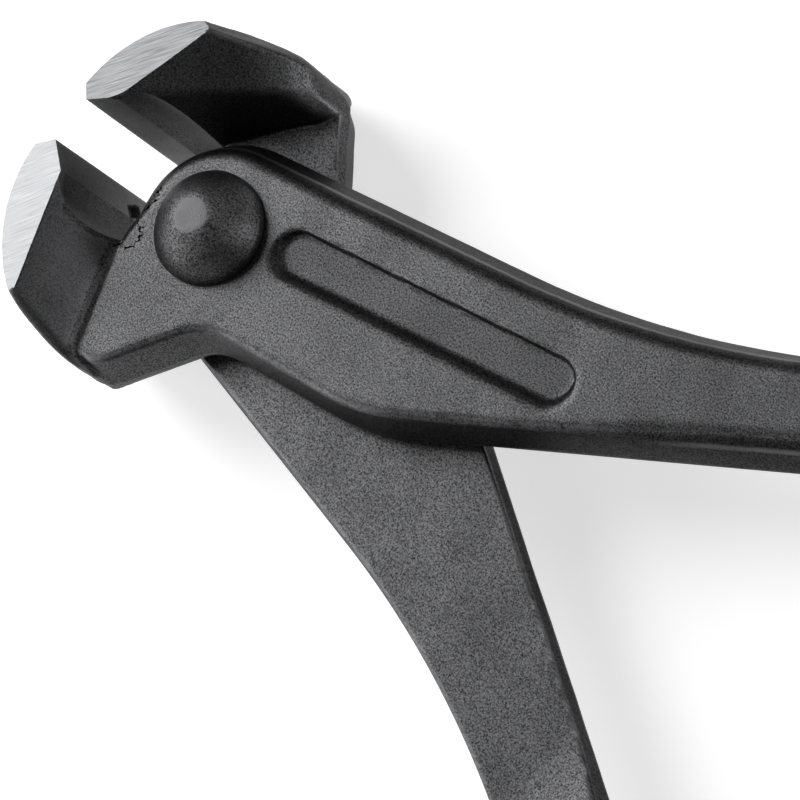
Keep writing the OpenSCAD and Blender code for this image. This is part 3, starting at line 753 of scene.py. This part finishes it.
def rivetProfile():
    half, rise = rivet["head"] / 2, rivet["dome"]
    domeRadius = (half ** 2 + rise ** 2) / (2 * rise)
    rimTop = laps["outerFace"] + rivet["rim"]
    domeZ = rimTop + rise - domeRadius
    first = math.asin((rimTop - domeZ) / domeRadius)
    last = math.acos(rivet["flat"] / 2 / domeRadius)
    base = laps["outerFace"] + 0.02
    profile = [(rivet["shank"] / 2, 0), (rivet["shank"] / 2, base), (half - 0.25, base), (half - 0.06, base + 0.07),
               (half, base + 0.25), (half, rimTop - 0.25), (half - 0.03, rimTop - 0.1)]
    profile += [(domeRadius * math.cos(a), domeZ + domeRadius * math.sin(a))
                for a in np.linspace(first + 0.03, last - 0.05, 26)]
    flatZ = domeZ + domeRadius * math.sin(last)
    edge = rivet["flat"] / 2
    profile += [(edge * 0.97, flatZ - 0.03), (edge * 0.86, flatZ - 0.005), (edge * 0.6, flatZ), (edge * 0.3, flatZ)]
    profile += [(0.02, flatZ)]
    return profile


def stripFaces(rings, count):
    # four-cornered faces between neighbouring rings of points
    ring = np.arange(rings - 1)[:, None] * count
    step = np.arange(count)[None, :]
    following = (step + 1) % count
    around = [ring + step, ring + following, ring + following + count, ring + step + count]
    return np.stack(around, 2).reshape(-1, 4)


def revolve(profile, count):
    turns = np.arange(count) * 2 * math.pi / count
    points = np.array([(r * math.cos(t), r * math.sin(t), z) for r, z in profile for t in turns])
    return points, stripFaces(len(profile), count)


half = rivetProfile()
whole = [(r, -z) for r, z in half[:0:-1]] + half[1:]
rivetPoints, rivetFaces = revolve(whole, rivet["around"])
wave = forgedSkin(*(rivetPoints * 0.8 + 31).T)
swell = np.clip((np.abs(rivetPoints[:, 2]) - laps["outerFace"] - 0.3) / 0.6, 0, 1)
lobes = np.sin(3 * np.arctan2(rivetPoints[:, 1], rivetPoints[:, 0]) + 1)
rivetPoints[:, :2] *= (1 + rivet["swell"] * swell * lobes)[:, None]
rivetPoints[:, 2] -= np.sign(rivetPoints[:, 2]) * swell * np.abs(wave) * rivet["unevenness"]
fromAxis = np.hypot(rivetPoints[:, 0], rivetPoints[:, 1])
flatEdge = rivet["flat"] / 2
rivetPiece = meshObject("rivetBody", rivetPoints * mm + np.array(rivetPlace), rivetFaces, [rivetOxide])
rivetPiece.data.set_sharp_from_angle(angle=math.radians(40))
wornFlat = np.exp(-((fromAxis - flatEdge) / 0.25) ** 2) * 0.1 + (fromAxis < flatEdge - 0.15) * 0.6
giveShares(rivetPiece, edge=wornFlat * swell, hollow=0 * swell)
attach(rivetPiece, "front")
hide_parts("rivet")
print("rivet placed")

# Dipped vinyl grips: a thick soft skin that ends in a rolled lip and a rounded tip
grip = {"start": 11.0, "wall": 1.6, "end": 5.0, "squareness": 3.0, "around": 72,
        "colour": "#1b1c1f", "dimples": 1.2, "relief": 0.04}  # mm: width and depth of the dip's orange peel


def gripRings():
    fromS = lever["bowRadius"] * math.radians(grip["start"])
    lip = [(0.0, 0.0), (0.0, 0.55), (0.25, 0.85), (0.7, 1.0), (1.5, 1.03), (3.0, 1.0)]  # along, share of the wall
    stations = [(fromS + along, share, 1.0) for along, share in lip]
    stations += [(s, 1.0, 1.0) for s in np.linspace(fromS + 5, handleLength, 60)]
    stations += [(handleLength + grip["end"] * math.sin(a) * 0.99, 1.0, max(math.cos(a), 0.02))
                 for a in np.linspace(0.12, math.pi / 2, 16)]
    points = []
    for s, share, shrink in stations:
        low, high = np.array(handlePoint(s, -1)), np.array(handlePoint(s, 1))
        middle, across = (low + high) / 2, (high - low)
        width = np.linalg.norm(across) / 2
        across = across / np.linalg.norm(across)
        grow = grip["wall"] * share if share > 0 else -1.0
        halfWide, halfHigh = (width + grow) * shrink, (lever["handleThickness"] / 2 + grow) * shrink
        moved = easeIn((middle[0] - lever["centreAt"]) / lever["centreRun"])
        face = lapFace + (lever["handleThickness"] / 2 - lapFace) * moved
        level = face - lever["handleThickness"] / 2
        for t in np.arange(grip["around"]) * 2 * math.pi / grip["around"]:
            c, v = math.cos(t), math.sin(t)
            power = 2 / grip["squareness"]
            u = math.copysign(abs(c) ** power, c) * halfWide
            w = math.copysign(abs(v) ** power, v) * halfHigh
            points.append((middle[0] + across[0] * u, middle[1] + across[1] * u, level + w))
    return np.array(points), len(stations)


gripPoints, ringCount = gripRings()
gripFaces = stripFaces(ringCount, grip["around"])
outwards = gripPoints[gripFaces[:, 0]] - gripPoints.mean(0)
if (faceSlopes(gripPoints, gripFaces) * outwards).sum() < 0:
    gripFaces = gripFaces[:, ::-1]

# Plasticised vinyl, dipped and cured: near black, with a soft broad gloss over a faint orange peel
vinyl = newMaterial("dippedVinyl")
out = addNode(vinyl, "ShaderNodeOutputMaterial")
place = addNode(vinyl, "ShaderNodeTexCoord").outputs["Object"]
dimples = addNode(vinyl, "ShaderNodeTexNoise", {"Vector": place}, {"Scale": 1 / (grip["dimples"] * mm), "Detail": 4.0})
bump = addNode(vinyl, "ShaderNodeBump", {"Height": dimples.outputs["Fac"]},
               {"Strength": 1.0, "Distance": grip["relief"] * mm})
shader = addNode(vinyl, "ShaderNodeBsdfPrincipled", {"Normal": bump.outputs["Normal"]},
                 {"Base Color": linearColour(grip["colour"]), "Roughness": 0.42, "IOR": 1.53})
vinyl.node_tree.links.new(shader.outputs["BSDF"], out.inputs["Surface"])

for side, front in (("front", True), ("rear", False)):
    piece = meshObject(side + "Grip", placed(gripPoints, front), gripFaces, [vinyl])
    piece.data.set_sharp_from_angle(angle=math.radians(50))
    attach(piece, side)
    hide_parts(side + "_grip")
print("grips placed")

# Floor: a white sheet that keeps the tool's soft shadow
floorLook = {"colour": "#d0d0d0", "glow": 0.6, "size": 6.0, "level": -0.0002}
floorMesh = bpy.data.meshes.new("floor")
edge, level = floorLook["size"] / 2, floorLook["level"]
floorMesh.from_pydata([(-edge, -edge, level), (edge, -edge, level), (edge, edge, level), (-edge, edge, level)], [],
                      [(0, 1, 2, 3)])
floor = bpy.data.objects.new("floor", floorMesh)
bpy.context.scene.collection.objects.link(floor)
sheet = newMaterial("whiteSheet")
out = addNode(sheet, "ShaderNodeOutputMaterial")
path = addNode(sheet, "ShaderNodeLightPath")
seen = addNode(sheet, "ShaderNodeMath", {0: path.outputs["Is Camera Ray"], 1: path.outputs["Is Glossy Ray"]},
               operation="ADD")
seenToo = addNode(sheet, "ShaderNodeMath", {0: seen.outputs["Value"], 1: path.outputs["Is Transmission Ray"]},
                  operation="ADD")
glow = addNode(sheet, "ShaderNodeMath", {0: seenToo.outputs["Value"]}, {1: floorLook["glow"]}, operation="MULTIPLY")
shader = addNode(sheet, "ShaderNodeBsdfPrincipled", {"Emission Strength": glow.outputs["Value"]},
                 {"Base Color": linearColour(floorLook["colour"]), "Roughness": 0.9, "Emission Color": (1, 1, 1, 1)})
sheet.node_tree.links.new(shader.outputs["BSDF"], out.inputs["Surface"])
floorMesh.materials.append(sheet)

# Lights: a wide soft box that the faces mirror, one low at the left for the ground faces, and weak ones to fill
lamps = {  # direction from the head, distance and width in metres, power in watts
    "softBox": ((-0.72, -0.05, 0.69), 1.0, 0.7, 8.4),
    "leftBox": ((-0.52, -0.80, 0.30), 1.0, 0.9, 6.4),
    "frontBox": ((0.15, -0.6, 0.78), 1.2, 0.5, 1.0),
    "backBox": ((0.0, 0.66, 0.75), 1.5, 0.9, 2.5),
    "rightBox": ((0.69, 0.2, 0.68), 1.2, 0.42, 0.8),
    "lowRightBox": ((0.82, 0.56, 0.08), 1.0, 0.33, 3.4),
}
head = Vector((-0.06, 0, 0.012))
for name, (way, distance, width, power) in lamps.items():
    light = bpy.data.lights.new(name, "AREA")
    light.shape, light.size, light.energy = "DISK", width, power
    lamp = bpy.data.objects.new(name, light)
    lamp.location = head + Vector(way).normalized() * distance
    lamp.rotation_euler = (lamp.location - head).to_track_quat("Z", "Y").to_euler()
    bpy.context.scene.collection.objects.link(lamp)
worldGlow = 0.06
world = bpy.data.worlds.new("studio")
bpy.context.scene.world = world
world.use_nodes = True
world.node_tree.nodes["Background"].inputs["Color"].default_value = (1, 1, 1, 1)
world.node_tree.nodes["Background"].inputs["Strength"].default_value = worldGlow
bpy.context.scene.view_settings.view_transform = "Standard"

print("scene ready")
